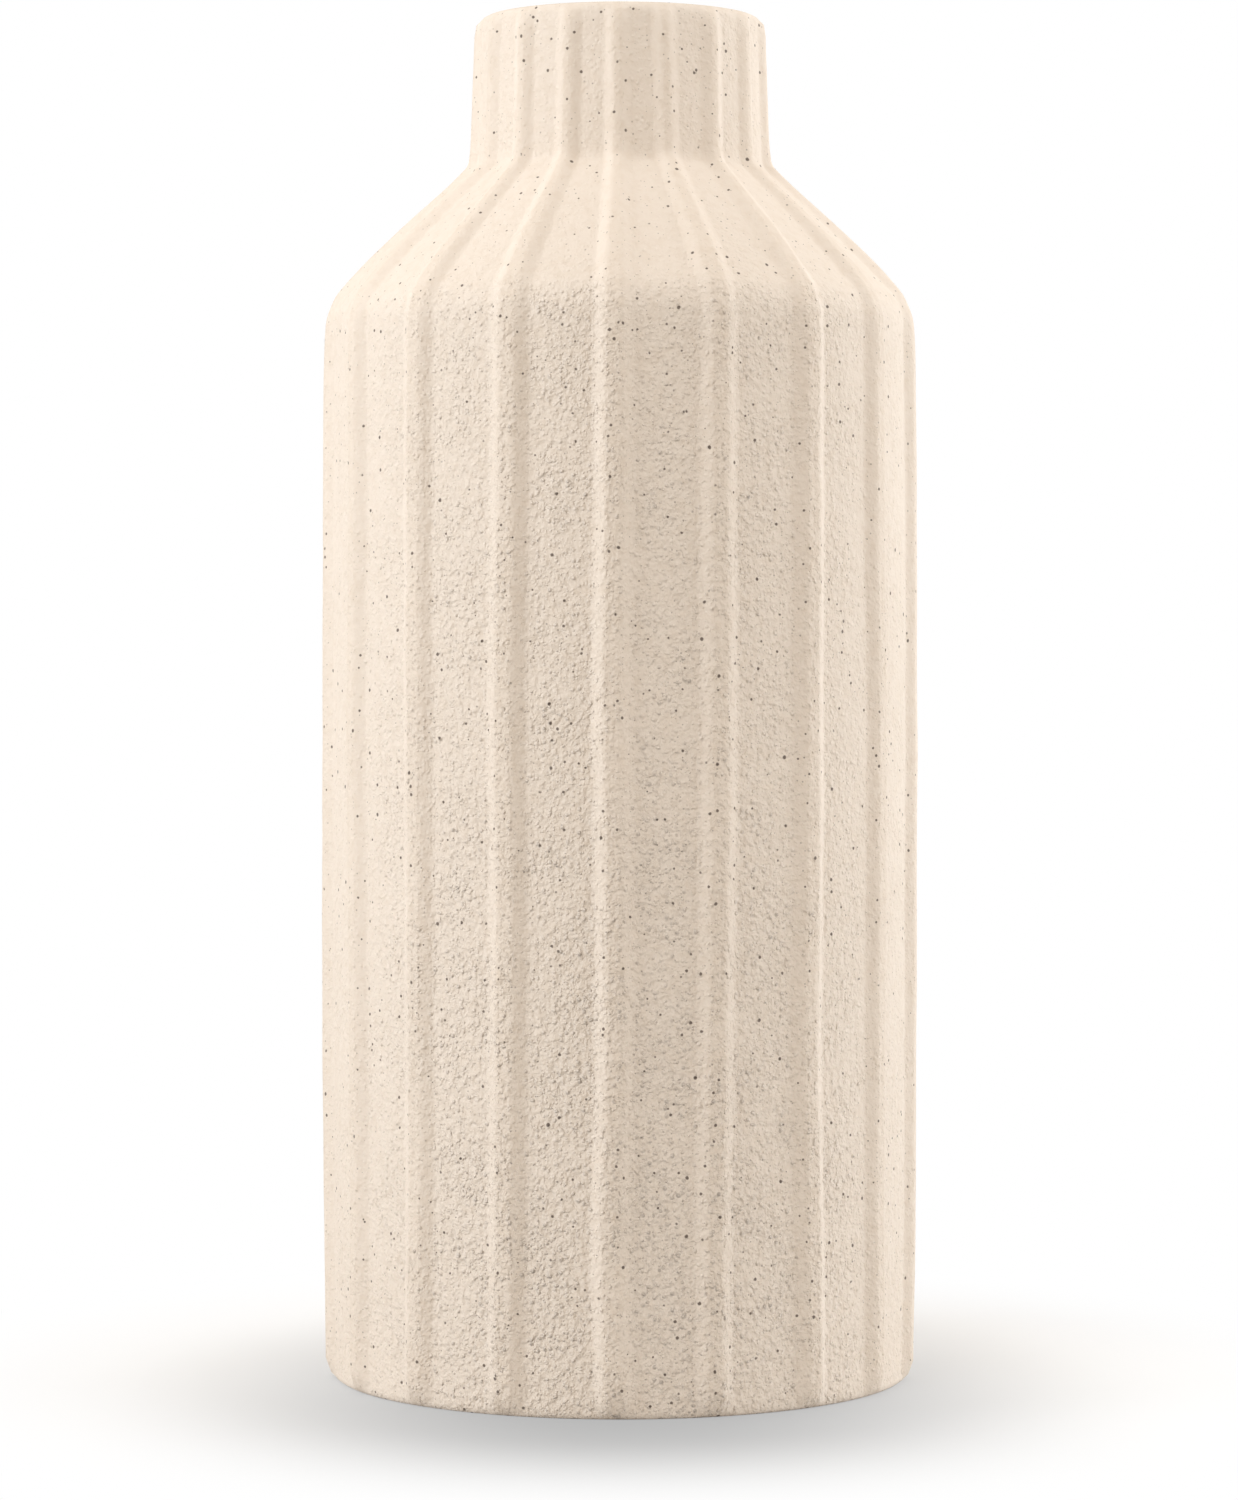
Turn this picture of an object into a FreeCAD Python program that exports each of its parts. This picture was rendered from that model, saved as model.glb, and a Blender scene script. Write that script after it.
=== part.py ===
import FreeCAD, Part
import math
import os

import Sketcher

# Bottle vase in stoneware. Millimetres, +Z up, origin on the floor at the middle of the foot,
# +Y away from the viewer. The pot is turned as a whole and parted at its luted joints, and each
# rib is a strip of clay laid on the outside from the foot to the lip.

os.makedirs("parts", exist_ok=True)

VECTOR = FreeCAD.Vector
FULL_TURN = 360
QUARTER_TURN = FULL_TURN / 4

# Driving sizes. Shares and counts stand in the second table, because they have no unit.
SIZES = {
    # outside of the pot between its ribs, up to the corners of its outline before they are rounded
    "wall_height": 251.5,
    "shoulder_height": 32.7,
    "neck_height": 35.8,
    "body_radius": 68.15,
    "foot_flare": 0.1,
    "neck_radius": 34.6,
    "neck_taper": 1.25,
    "wall_bow_radius": 11200.0,
    "shoulder_bow_radius": 360.0,
    "foot_round": 1.6,
    "edge_round": 8.0,
    "root_round": 4.0,
    # walls, floor and foot ring
    "wall_thickness": 5.5,
    "neck_thickness": 5.4,
    "floor_thickness": 6.5,
    "foot_recess": 1.5,
    "foot_ring_width": 8.0,
    # luted joints
    "lap_height": 3.0,
    "shoulder_joint_drop": 13.5,
    "neck_joint_rise": 6.8,
    # glaze
    "glaze_thickness": 0.4,
    # ribs
    "rib_rise": 1.9,
    "rib_rise_neck": 1.2,
    "rib_width": 6.8,
    "rib_width_neck": 4.8,
    "rib_foot_gap": 0.8,
    "rib_lip_gap": 2.8,
    "rib_foot_slope": 1.6,
    "rib_lip_slope": 2.4,
    "rib_edge_round": 12.0,
    "rib_root_round": 8.0,
    # how far a cutter runs past what it cuts
    "overrun": 5.0,
}

RATIOS = {
    "rib_count": 18,
    "rib_first_angle": -1.7,
    # a corner of a parallel line lies this share of the distance further up or down
    "mitre_share": 0.42,
    # rounding of the lip, outside and inside, as shares of neck_thickness
    "lip_round_share": 0.41,
    "inner_lip_round_share": 0.44,
    # what is left of a rib's rise at its two ends
    "rib_end_share": 0.25,
}

# Heights on the wall, as shares of wall_height, at which a rib's sway is given. The last three
# places are the shoulder's edge, the root of the neck and the rib's upper end.
WALL_STATION_SHARES = (0.04, 0.16, 0.32, 0.48, 0.64, 0.80)

# How far a hand-laid rib strays sideways at each station, as a share of rib_width. One row for
# each of nine ribs round the front, and the nine at the back follow the same rows upside down.
RIB_SWAY_SHARES = (
    (0.08, -0.02, 0.10, 0.10, 0.02, 0.07, 0.08, 0.06, 0.04),
    (-0.08, -0.12, -0.05, 0.00, 0.05, 0.03, 0.07, -0.02, -0.09),
    (0.13, 0.03, -0.14, -0.07, -0.05, -0.02, 0.01, -0.01, 0.00),
    (0.06, 0.00, -0.03, 0.01, 0.05, -0.08, 0.00, -0.03, 0.02),
    (-0.04, 0.05, 0.02, -0.06, 0.03, 0.06, -0.02, 0.03, 0.05),
    (0.05, -0.04, -0.08, 0.02, 0.07, 0.00, -0.05, 0.02, -0.03),
    (0.00, 0.07, 0.12, 0.04, -0.03, 0.05, -0.10, 0.04, 0.06),
    (-0.08, 0.02, 0.05, 0.03, 0.00, -0.03, -0.04, 0.05, 0.02),
    (-0.10, -0.04, 0.00, 0.04, -0.04, 0.04, 0.05, 0.06, 0.10),
)


class Term:
    """A number together with the sheet expression that gives it."""

    def __init__(self, value, text):
        self.value = float(value)
        self.text = text

    def __add__(self, other):
        return Term(self.value + other.value, f"({self.text} + {other.text})")

    def __sub__(self, other):
        return Term(self.value - other.value, f"({self.text} - {other.text})")

    def __mul__(self, other):
        return Term(self.value * other.value, f"({self.text} * {other.text})")


doc = FreeCAD.newDocument("bottle_vase")
sheet = doc.addObject("Spreadsheet::Sheet", "Sizes")
for row, (alias, number) in enumerate({**SIZES, **RATIOS}.items(), start=1):
    sheet.set(f"A{row}", alias.replace("_", " "))
    sheet.set(f"B{row}", str(number))
    sheet.setAlias(f"B{row}", alias)
doc.recompute()


def size(alias):
    """The driving value of that name, as a term."""
    return Term(getattr(sheet, alias), f"Sizes.{alias}")


ZERO = Term(0, "0")


def add_body(name):
    body = doc.addObject("PartDesign::Body", name)
    body.Label = name
    return body


def origin_plane(body, role):
    return next(item for item in body.Origin.OriginFeatures if item.Role == role)


def bowed_edge(start, end, radius):
    """The arc of that radius from start to end that bulges away from the axis."""
    chord = end - start
    middle = (start + end) / 2
    inward = VECTOR(-chord.y, chord.x, 0).normalize()
    reach = math.sqrt(radius**2 - (chord.Length / 2) ** 2)
    centre = middle + inward * reach
    circle = Part.Circle(centre, VECTOR(0, 0, 1), radius)
    return Part.ArcOfCircle(circle, circle.parameter(start), circle.parameter(end))


def outline_sketch(body, name, corners, bows=None, rounds=None):
    """A closed outline in the body's upright plane. corners are (radius, height) pairs. bows
    gives the radius of the arc that leaves a corner where the outline isn't straight there, and
    rounds the radius that rounds a corner off."""
    bows = bows or {}
    rounds = rounds or {}
    sketch = body.newObject("Sketcher::SketchObject", name)
    sketch.AttachmentSupport = (origin_plane(body, "XZ_Plane"), [""])
    sketch.MapMode = "FlatFace"
    spots = [VECTOR(across.value, up.value, 0) for across, up in corners]
    middles = []
    for index, spot in enumerate(spots):
        following = spots[(index + 1) % len(spots)]
        if index in bows:
            side = bowed_edge(spot, following, bows[index].value)
        else:
            side = Part.LineSegment(spot, following)
        sketch.addGeometry(side, False)
        middles.append(side.value((side.FirstParameter + side.LastParameter) / 2))
    for index in range(len(spots)):
        before = (index - 1) % len(spots)
        sketch.addConstraint(Sketcher.Constraint("Coincident", before, 2, index, 1))
    holders = {index: index for index in range(len(spots))}
    arcs = {}
    for index, radius in rounds.items():
        before = (index - 1) % len(spots)
        ends = (middles[before], middles[index])
        sketch.fillet(before, index, *ends, radius.value, True, False, False)
        arcs[sketch.GeometryCount - 1] = radius
        holder = sketch.addGeometry(Part.Point(spots[index]), True)
        sketch.addConstraint(Sketcher.Constraint("PointOnObject", holder, 1, before))
        sketch.addConstraint(Sketcher.Constraint("PointOnObject", holder, 1, index))
        holders[index] = holder
    for index, (across, up) in enumerate(corners):
        for kind, term in (("DistanceX", across), ("DistanceY", up)):
            rule = Sketcher.Constraint(kind, -1, 1, holders[index], 1, term.value)
            number = sketch.addConstraint(rule)
            if term is not ZERO:
                sketch.setExpression(f"Constraints[{number}]", term.text)
    for side, radius in {**bows, **arcs}.items():
        number = sketch.addConstraint(Sketcher.Constraint("Radius", side, radius.value))
        sketch.setExpression(f"Constraints[{number}]", radius.text)
    return sketch


def turn_outline(body, sketch):
    """Turn the outline once round the upright axis."""
    turned = body.newObject("PartDesign::Revolution", f"{body.Name}_turned")
    turned.Profile = sketch
    turned.ReferenceAxis = (sketch, ["V_Axis"])
    turned.Angle = FULL_TURN
    doc.recompute()


def boolean(kind, name, shapes):
    result = doc.addObject(kind, name)
    if kind == "Part::Cut":
        result.Base, result.Tool = shapes
    else:
        result.Shapes = shapes
    doc.recompute()
    return result


# Places and sizes that follow from the driving ones

edge_up = size("wall_height")
root_up = edge_up + size("shoulder_height")
height = root_up + size("neck_height")
edge_radius = size("body_radius")
foot_radius = edge_radius + size("foot_flare")
root_radius = size("neck_radius")
mouth_radius = root_radius - size("neck_taper")
lip_round = size("neck_thickness") * size("lip_round_share")
inner_lip_round = size("neck_thickness") * size("inner_lip_round_share")
recess = size("foot_recess")
ring_inner = foot_radius - size("foot_ring_width")
floor_top = recess + size("floor_thickness")
mitre = size("mitre_share")
rise = size("rib_rise")
rise_neck = size("rib_rise_neck")


# Outer form of the pot, without its hollow and its ribs

outer_form = add_body("outer_form")
outer_sketch = outline_sketch(
    outer_form,
    "outer_outline",
    [
        (ZERO, recess),
        (ring_inner - recess, recess),
        (ring_inner, ZERO),
        (foot_radius, ZERO),
        (edge_radius, edge_up),
        (root_radius, root_up),
        (mouth_radius, height),
        (ZERO, height),
    ],
    bows={3: size("wall_bow_radius"), 4: size("shoulder_bow_radius")},
    rounds={
        3: size("foot_round"),
        4: size("edge_round"),
        5: size("root_round"),
        6: lip_round,
    },
)
turn_outline(outer_form, outer_sketch)


# Hollow of the clay, and the smaller hollow that the glaze leaves

def hollow_body(name, skin):
    """The space inside, smaller than the clay's own hollow by the skin all round."""
    wall = size("wall_thickness") + skin
    bore = mouth_radius - size("neck_thickness") - skin
    bottom = floor_top + skin
    over = height + size("overrun")
    corners = [
        (ZERO, bottom),
        (foot_radius - wall, bottom),
        (edge_radius - wall, edge_up - wall * mitre),
        (bore, root_up - wall * mitre),
        (bore, height),
        (root_radius, height),
        (root_radius, over),
        (ZERO, over),
    ]
    rounds = {4: inner_lip_round + skin}
    body = add_body(name)
    turn_outline(body, outline_sketch(body, f"{name}_outline", corners, rounds=rounds))
    return body


clay_hollow = hollow_body("clay_hollow", ZERO)
glazed_hollow = hollow_body("glazed_hollow", size("glaze_thickness"))


# Blocks that part the pot at its luted joints: all below the joint, and the lap's inner half

def joint_block(name, level, lap_radius):
    below = doc.addObject("Part::Cylinder", f"{name}_below")
    below.setExpression("Radius", (foot_radius + size("overrun")).text)
    below.setExpression("Height", level.text)
    tongue = doc.addObject("Part::Cylinder", f"{name}_tongue")
    tongue.setExpression("Radius", lap_radius.text)
    tongue.setExpression("Height", (level + size("lap_height")).text)
    return boolean("Part::MultiFuse", name, [below, tongue])


HALF = Term(0.5, "0.5")
wall_lap = foot_radius - size("wall_thickness") * HALF
neck_lap = mouth_radius - size("neck_thickness") * HALF
floor_block = joint_block("floor_block", floor_top - size("lap_height"), wall_lap)
wall_block = joint_block("wall_block", edge_up - size("shoulder_joint_drop"), wall_lap)
shoulder_block = joint_block("shoulder_block", root_up + size("neck_joint_rise"), neck_lap)


# Clay pieces

pot = boolean("Part::Cut", "pot", (outer_form, clay_hollow))
floor_slab = boolean("Part::MultiCommon", "floor_slab", [pot, floor_block])
pot_above_floor = boolean("Part::Cut", "pot_above_floor", (pot, floor_block))
wall_cylinder = boolean("Part::MultiCommon", "wall_cylinder", [pot_above_floor, wall_block])
pot_above_wall = boolean("Part::Cut", "pot_above_wall", (pot_above_floor, wall_block))
shoulder = boolean("Part::MultiCommon", "shoulder", [pot_above_wall, shoulder_block])
neck_collar = boolean("Part::Cut", "neck_collar", (pot_above_wall, shoulder_block))


# Glaze, up to where the lip's inner rounding begins

glaze_top = doc.addObject("Part::Cylinder", "glaze_top")
glaze_top.setExpression("Radius", foot_radius.text)
glaze_top.setExpression("Height", (height - inner_lip_round).text)
glazed_side = boolean("Part::MultiCommon", "glazed_side", [clay_hollow, glaze_top])
glaze_lining = boolean("Part::Cut", "glaze_lining", (glazed_side, glazed_hollow))


# Ribs: the band between the pot and the line of the crowns, cut by one wandering blade for each

rib_foot = size("rib_foot_gap")
rib_top = height - size("rib_lip_gap")
end_share = size("rib_end_share")

crown_form = add_body("crown_form")
crown_sketch = outline_sketch(
    crown_form,
    "crown_outline",
    [
        (ZERO, floor_top),
        (ring_inner, floor_top),
        (ring_inner, rib_foot),
        (foot_radius + rise * end_share, rib_foot),
        (foot_radius + rise, rib_foot + size("rib_foot_slope")),
        (edge_radius + rise, edge_up + rise * mitre),
        (root_radius + rise_neck, root_up + rise_neck * mitre),
        (mouth_radius + rise_neck, rib_top - size("rib_lip_slope")),
        (mouth_radius + rise_neck * end_share, rib_top),
        (ZERO, rib_top),
    ],
    bows={4: size("wall_bow_radius"), 5: size("shoulder_bow_radius")},
    rounds={5: size("rib_edge_round"), 6: size("rib_root_round")},
)
turn_outline(crown_form, crown_sketch)
rib_band = boolean("Part::Cut", "rib_band", (crown_form, outer_form))


def rib_sway(index):
    """The rib's sideways wandering at each station, from the foot to the lip."""
    rows = len(RIB_SWAY_SHARES)
    shares = RIB_SWAY_SHARES[index % rows]
    if rows // 2 < index <= rows // 2 + rows:
        shares = tuple(reversed(shares))
    return [share * sheet.rib_width for share in shares]


def rib_blade(index):
    """A radial slab with wandering sides that cuts the rib out of the band."""
    heights = [share * edge_up.value for share in WALL_STATION_SHARES]
    heights += [edge_up.value, root_up.value, rib_top.value]
    halves = [sheet.rib_width / 2] * (len(WALL_STATION_SHARES) + 1)
    halves += [sheet.rib_width_neck / 2] * 2
    sway = rib_sway(index)
    ends = (-sheet.overrun, height.value + sheet.overrun)
    heights = [ends[0], *heights, ends[1]]
    halves = [halves[0], *halves, halves[-1]]
    sway = [sway[0], *sway, sway[-1]]
    sides = []
    for sign in (-1, 1):
        places = zip(sway, halves, heights)
        spots = [VECTOR(0, aside + sign * half, up) for aside, half, up in places]
        side = Part.BSplineCurve()
        side.interpolate(spots)
        sides.append((side.toShape(), spots))
    (left, left_spots), (right, right_spots) = sides
    bottom = Part.makeLine(left_spots[0], right_spots[0])
    top = Part.makeLine(left_spots[-1], right_spots[-1])
    face = Part.Face(Part.Wire(Part.__sortEdges__([left, top, right, bottom])))
    blade = doc.addObject("Part::Feature", f"blade_{index + 1:02d}")
    reach = foot_radius + rise + size("overrun")
    blade.Shape = face.extrude(VECTOR(reach.value, 0, 0))
    return blade


ribs = []
for index in range(int(sheet.rib_count)):
    blade = rib_blade(index)
    angle = sheet.rib_first_angle + FULL_TURN / sheet.rib_count * index
    turn = FreeCAD.Rotation(VECTOR(0, 0, 1), angle - QUARTER_TURN)
    blade.Placement = FreeCAD.Placement(VECTOR(0, 0, 0), turn)
    rib = boolean("Part::MultiCommon", f"rib_{index + 1:02d}", [rib_band, blade])
    ribs.append(rib)
doc.recompute()


PIECES = [floor_slab, wall_cylinder, shoulder, neck_collar, glaze_lining, *ribs]
for item in doc.Objects:
    if "Invalid" in item.State or "Error" in item.State:
        raise RuntimeError(f"{item.Name} failed: {item.State}")
for piece in PIECES:
    piece.Label = piece.Name
    if piece.Shape.isNull() or not piece.Shape.isValid():
        raise RuntimeError(f"{piece.Label} has no valid shape")
for piece in PIECES:
    piece.Shape.exportStep(f"parts/{piece.Label}.step")
    print(f"{piece.Label}: {piece.Shape.Volume:.0f} mm3, {len(piece.Shape.Solids)} solid")
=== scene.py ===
"""Looks of the ribbed bottle vase: sandy stoneware outside, cream glaze inside, on a plain studio
floor. Metres, +Z up, the viewer looks along +Y."""

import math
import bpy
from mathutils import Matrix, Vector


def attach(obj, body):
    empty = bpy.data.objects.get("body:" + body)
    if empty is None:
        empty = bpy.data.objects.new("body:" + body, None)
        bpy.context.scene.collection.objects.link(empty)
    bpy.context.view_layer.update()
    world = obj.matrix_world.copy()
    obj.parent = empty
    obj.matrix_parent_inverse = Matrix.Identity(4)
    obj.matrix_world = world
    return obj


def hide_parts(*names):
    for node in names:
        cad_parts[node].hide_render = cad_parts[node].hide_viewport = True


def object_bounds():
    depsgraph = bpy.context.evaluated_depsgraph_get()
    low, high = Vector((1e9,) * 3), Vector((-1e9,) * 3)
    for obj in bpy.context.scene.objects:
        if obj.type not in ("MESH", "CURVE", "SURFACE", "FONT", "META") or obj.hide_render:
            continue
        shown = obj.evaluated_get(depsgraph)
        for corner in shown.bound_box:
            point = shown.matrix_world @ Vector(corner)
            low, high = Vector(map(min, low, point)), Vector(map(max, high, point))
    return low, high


bl_info = {
    "name": "Ribbed bottle vase",
    "version": (1, 0, 0),
    "blender": (4, 5, 0),
    "location": "3D View > Sidebar > Vase",
    "description": "Builds the fired clay, the glaze and the studio stage of a ribbed bottle vase",
    "category": "Object",
}

import bmesh
import bpy
import numpy as np
from bpy.props import FloatProperty, FloatVectorProperty, IntProperty, PointerProperty
from mathutils import Vector, noise

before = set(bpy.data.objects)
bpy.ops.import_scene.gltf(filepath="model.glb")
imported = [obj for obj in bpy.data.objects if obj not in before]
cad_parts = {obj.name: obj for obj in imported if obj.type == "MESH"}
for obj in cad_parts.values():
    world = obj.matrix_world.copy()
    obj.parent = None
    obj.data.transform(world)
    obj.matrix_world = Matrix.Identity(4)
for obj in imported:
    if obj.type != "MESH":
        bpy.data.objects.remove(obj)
FRAME_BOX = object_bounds()

MM = 0.001
ROOT = "root"
RIB_NODES = sorted(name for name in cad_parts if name.startswith("rib_"))
CLAY_NODES = ["floor_slab", "wall_cylinder", "shoulder", "neck_collar", *RIB_NODES]

# The whole height, as the solids have it
VASE_HEIGHT = FRAME_BOX[1].z

# An inside corner of the clay lies this share of the wall's thickness below the outside one
MITRE_SHARE = 0.42

# Roundings inside, where the shoulder turns into the neck: of the clay and of the glaze over it.
# Then those of the glaze's other corners and of the recess under the foot.
CLAY_BEND = 5.5 * MM
GLAZE_BEND = 5.9 * MM
GLAZE_CORNER = 3 * MM
RECESS_ROUND = 0.8 * MM

# The glaze's upper end: how much of its thickness is rounded off, the rounding, and the height
# over which it thins out
GLAZE_END_SHARE = 0.8
GLAZE_END_ROUND = 0.15 * MM
GLAZE_END_RUN = 1.2 * MM

# How the ends of the pot's outside are found on its outline: as the lowest point so near to the
# foot's edge, and a little past the first point at full height
FOOT_BAND = 2 * MM
TOP_BAND, PAST_TOP = 0.01 * MM, 0.1 * MM

# Points nearer than this are one point
WELD = 0.02 * MM

# Columns of faces round the pot: so many for each rib, most of them on the rib and its flanks
RIB_COLUMNS = 36
RIB_ZONE_SHARE = 13 / 36
GLAZE_SECTORS, GLAZE_COLUMNS = 12, 16

# A rib's straying off its straight line, as shares of its width, at nine heights from the foot to
# the lip, in millimetres as in the solids. One row for each of nine ribs round the front. The nine
# at the back follow the same rows upside down.
SWAY_HEIGHTS = (10.1, 40.2, 80.5, 120.7, 161.0, 201.2, 251.5, 284.2, 317.2)
SWAY_WIDTH = 6.8
SWAY_SHARES = (
    (0.08, -0.02, 0.10, 0.10, 0.02, 0.07, 0.08, 0.06, 0.04),
    (-0.08, -0.12, -0.05, 0.00, 0.05, 0.03, 0.07, -0.02, -0.09),
    (0.13, 0.03, -0.14, -0.07, -0.05, -0.02, 0.01, -0.01, 0.00),
    (0.06, 0.00, -0.03, 0.01, 0.05, -0.08, 0.00, -0.03, 0.02),
    (-0.04, 0.05, 0.02, -0.06, 0.03, 0.06, -0.02, 0.03, 0.05),
    (0.05, -0.04, -0.08, 0.02, 0.07, 0.00, -0.05, 0.02, -0.03),
    (0.00, 0.07, 0.12, 0.04, -0.03, 0.05, -0.10, 0.04, 0.06),
    (-0.08, 0.02, 0.05, 0.03, 0.00, -0.03, -0.04, 0.05, 0.02),
    (-0.10, -0.04, 0.00, 0.04, -0.04, 0.04, 0.05, 0.06, 0.10),
)

# A rib's flank falls in a soft curve for this share, and evenly for the rest
SOFT_SHARE = 0.75

# A rib's ends and corners: heights over which it rises from the foot and fades at the lip, the
# share of its rise that is pressed away at the shoulder's edge, the clay that fills the root of
# the neck, and how far up and down both reach
FOOT_RUN = 2.6 * MM
LIP_RUN = 2.2 * MM
EDGE_DIP, EDGE_REACH = 0.3, 6 * MM
ROOT_FILL, ROOT_REACH = 0.4 * MM, 3.5 * MM

# Waves that the hand leaves. Along a flank: share, step from rib to rib, offset and length. Along
# a crown: its even share, then the same four. On the wall: share, upright stretch and size, and how
# far on the whole it is pressed in. Those on the wall fade out over a height at the foot and lip.
FLANK_WAVES = ((0.7, 3.1, 0.5, 9 * MM), (0.5, 5.3, 7.5, 5 * MM))
CROWN_EVEN, CROWN_WAVES = 0.97, (0.07, 2.7, 3.5, 22 * MM)
WALL_WAVES = ((0.7, 0.6, 13 * MM), (0.35, 0.8, 5.5 * MM))
PRESSED_IN = 0.5
CALM_RUN = 6 * MM

# A sand grain's height from its middle outwards, in cells
GRAIN_TOP = (0.05, 0.6, 1.0, 0.0)

# The sand's three sizes: how many to a grain's width, and how high they stand. Their middle height
# is taken off. Patches of coarser sand: scale, edges, and how much they add to the least relief.
COARSE_SAND, LARGE_GRAINS, SMALL_GRAINS = (0.7, 0.7), (0.85, 0.36), (1.5, 0.22)
SAND_MIDDLE = -0.43
SAND_PATCH_SCALE, SAND_PATCH_EDGES, SAND_PATCH_RELIEF = 75.0, (0.34, 0.66), (0.4, 0.7)

# Sand relief by place: up the wall, away from the sides that face left and right, on the shoulder
# and on the neck. Each row is where it starts and ends to change, and from what to what. The last
# number is what a rib's wiped flank loses.
WALL_SAND = (0.0, 0.24, 1.75, 1.15)
SIDE_SAND = (0.03, 0.068, 0.42, 1.0)
SHOULDER_SAND = (0.249, 0.256, 1.0, 0.42)
NECK_SAND = (0.281, 0.289, 1.0, 2.2)
WIPED_SAND = -0.4

# The clay's tones: warm blotches (scale, detail, roughness) and how far they show, the warmth of
# the ribs' crowns, and painted shade in the hollows between the grains. Its roughness and its faint
# shine.
BLOTCHES = (420.0, 4.0, 0.6)
BLOTCH_WARMTH = (0.42, 0.72, 0.0, 0.45)
CROWN_WARMTH = 0.3
HOLLOW_SHADE_DEPTH, HOLLOW_SHADE_TONE = (-0.3, 0.1, 0.05, 0.0), 0.5
CLAY_ROUGHNESS = (0.0, 1.0, 0.78, 0.92)
CLAY_SHINE = 0.25

# The glaze's pools, its roughness, and the waves where it ran: noise, and how far it shows
POOLS, POOL_WARMTH = (35.0, 3.0), (0.3, 0.7, 0.0, 0.5)
GLOSS_CHANGE, GLAZE_ROUGHNESS = 260.0, (0.3, 0.7, 0.16, 0.30)
GLAZE_WAVES, WAVE_STRENGTH, WAVE_HEIGHT = (120.0, 2.0, 0.4), 0.5, 0.6 * MM

# Iron specks of two sorts: size in cells, and the share of the cells that hold one
LARGE_SPECKS = {"Size": 0.16, "Share": 0.9}
SMALL_SPECKS = {"Size": 0.18, "Share": 0.7}
SMALL_SPECKS_PER_LARGE = 2.2
SMALL_SPECK_TONE, SPECK_TONE = 0.5, 0.88

# A speck's size: its chance part and its least part. Its ragged edge: scale, and the same two. The
# share of it that is dark all through.
SPECK_SIZES = (0.8, 0.35)
SPECK_RAGGED, SPECK_EDGE = 1400.0, (0.9, 0.55)
SPECK_CORE = 0.55

# Soft lamps beside the vase: degrees round from the viewer (right is positive) and power. The
# light from all round is warmer than the lamps.
SIDE_LAMPS = ((-125, 2.6), (-75, 8.9), (75, 4.4), (100, 6.4), (125, 4.9))
SIDE_LAMP_HEIGHT = 0.30
SIDE_LAMP_SIZE = (0.5, 1.3)
HIGH_LAMPS = (
    ("top_lamp", (0, -0.25, 1.3), (1, 1), 3.7),
    ("front_lamp", (-0.5, -0.8, 1.2), (0.7, 0.7), 5.8),
)
LAMP_TINT = (0.88, 0.94, 1.0)
AIR_TINT = (1.0, 0.80, 0.58)

# The floor, half its width, and its tones: how much light it throws back on the vase, and the
# painted shadow, a deeper patch round the foot that a viewer sees, which fades to white further out
FLOOR_REACH = 3
FLOOR_BOUNCE = 0.76
PAINTED_SHADOW_MIDDLE = (0, -0.045, 0)
PAINTED_SHADOW_REACH = (0.105, 0.145, 1)
PAINTED_SHADOW_TONE = 0.08
PAINTED_SHADOW_FADE = (0.1, 1.3)
WHITE_FADE = (0.09, 0.185, 0.45, 1.0)


def length(name, description, default, **more):
    """A size in metres that the sidebar shows."""
    return FloatProperty(
        name=name, description=description, default=default, unit="LENGTH", precision=5, **more
    )


def colour(name, description, default):
    """A colour that the sidebar shows."""
    return FloatVectorProperty(
        name=name, description=description, default=default, subtype="COLOR", min=0, max=1
    )


class VaseShape(bpy.types.PropertyGroup):
    """Sizes of the fired pot, as in its solids."""

    wall_height: length("Wall height", "Floor to the shoulder's edge", 0.2515)
    shoulder_height: length("Shoulder height", "Shoulder's edge to the neck's root", 0.0327)
    body_radius: length("Body radius", "Outside of the wall between the ribs", 0.06815)
    foot_flare: length("Foot flare", "How much wider the foot is than the wall's top", 0.0001)
    neck_radius: length("Neck radius", "Outside of the neck at its root", 0.0346)
    neck_taper: length("Neck taper", "How much narrower the mouth is than the root", 0.00125)
    wall_bow: length("Wall bow", "How far the wall swells at half its height", 0.0007)
    shoulder_bow: length("Shoulder bow", "How far the shoulder swells", 0.0007)
    wall_thickness: length("Wall thickness", "Clay of the wall and the shoulder", 0.0055)
    neck_thickness: length("Neck thickness", "Clay of the neck", 0.0054)
    floor_thickness: length("Floor thickness", "Clay of the floor", 0.0065)
    foot_recess: length("Foot recess", "Depth of the recess under the foot", 0.0015)
    foot_ring: length("Foot ring", "Width of the ring the pot stands on", 0.008)
    foot_round: length("Foot rounding", "Rounding of the outer base edge", 0.0016)
    edge_round: length("Edge rounding", "Rounding of the shoulder's edge", 0.0095)
    root_round: length("Root rounding", "Rounding at the root of the neck", 0.0045)
    lip_round: length("Lip rounding", "Rounding of the lip, outside and inside", 0.0023)
    glaze_thickness: length("Glaze thickness", "Glaze inside", 0.0004)
    glaze_stop: length("Glaze stop", "Distance from the top at which the glaze ends", 0.0024)


class VaseRibs(bpy.types.PropertyGroup):
    """Sizes of the laid-on ribs."""

    count: IntProperty(name="Ribs", description="Ribs round the pot", default=18, min=3)
    first_angle: FloatProperty(
        name="First rib",
        description="Angle of the rib nearest the front",
        default=math.radians(-1.7),
        unit="ROTATION",
    )
    rise: length("Rise", "Height of a rib on the wall", 0.0019)
    neck_rise: length("Rise on the neck", "Height of a rib on the neck", 0.0012)
    crown: length("Half crown", "Half the width of a rib's flat top on the wall", 0.0013)
    neck_crown: length("Half crown on the neck", "Half the width of its top on the neck", 0.0005)
    flank: length("Flank", "Width of one soft side on the wall", 0.0036)
    neck_flank: length("Flank on the neck", "Width of one soft side on the neck", 0.0030)
    zone: length("Zone", "Half the width that gets fine faces on the wall", 0.0054)
    neck_zone: length("Zone on the neck", "The same on the neck", 0.0041)
    foot_start: length("Foot start", "Height at which a rib starts to rise", 0.0006)
    lip_stop: length("Lip stop", "Distance from the top at which a rib is gone", 0.0009)
    ragged: length("Ragged edge", "How far a flank strays by hand", 0.00022)
    uneven: length("Unevenness", "How far the hand-smoothed wall strays", 0.00016)


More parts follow.
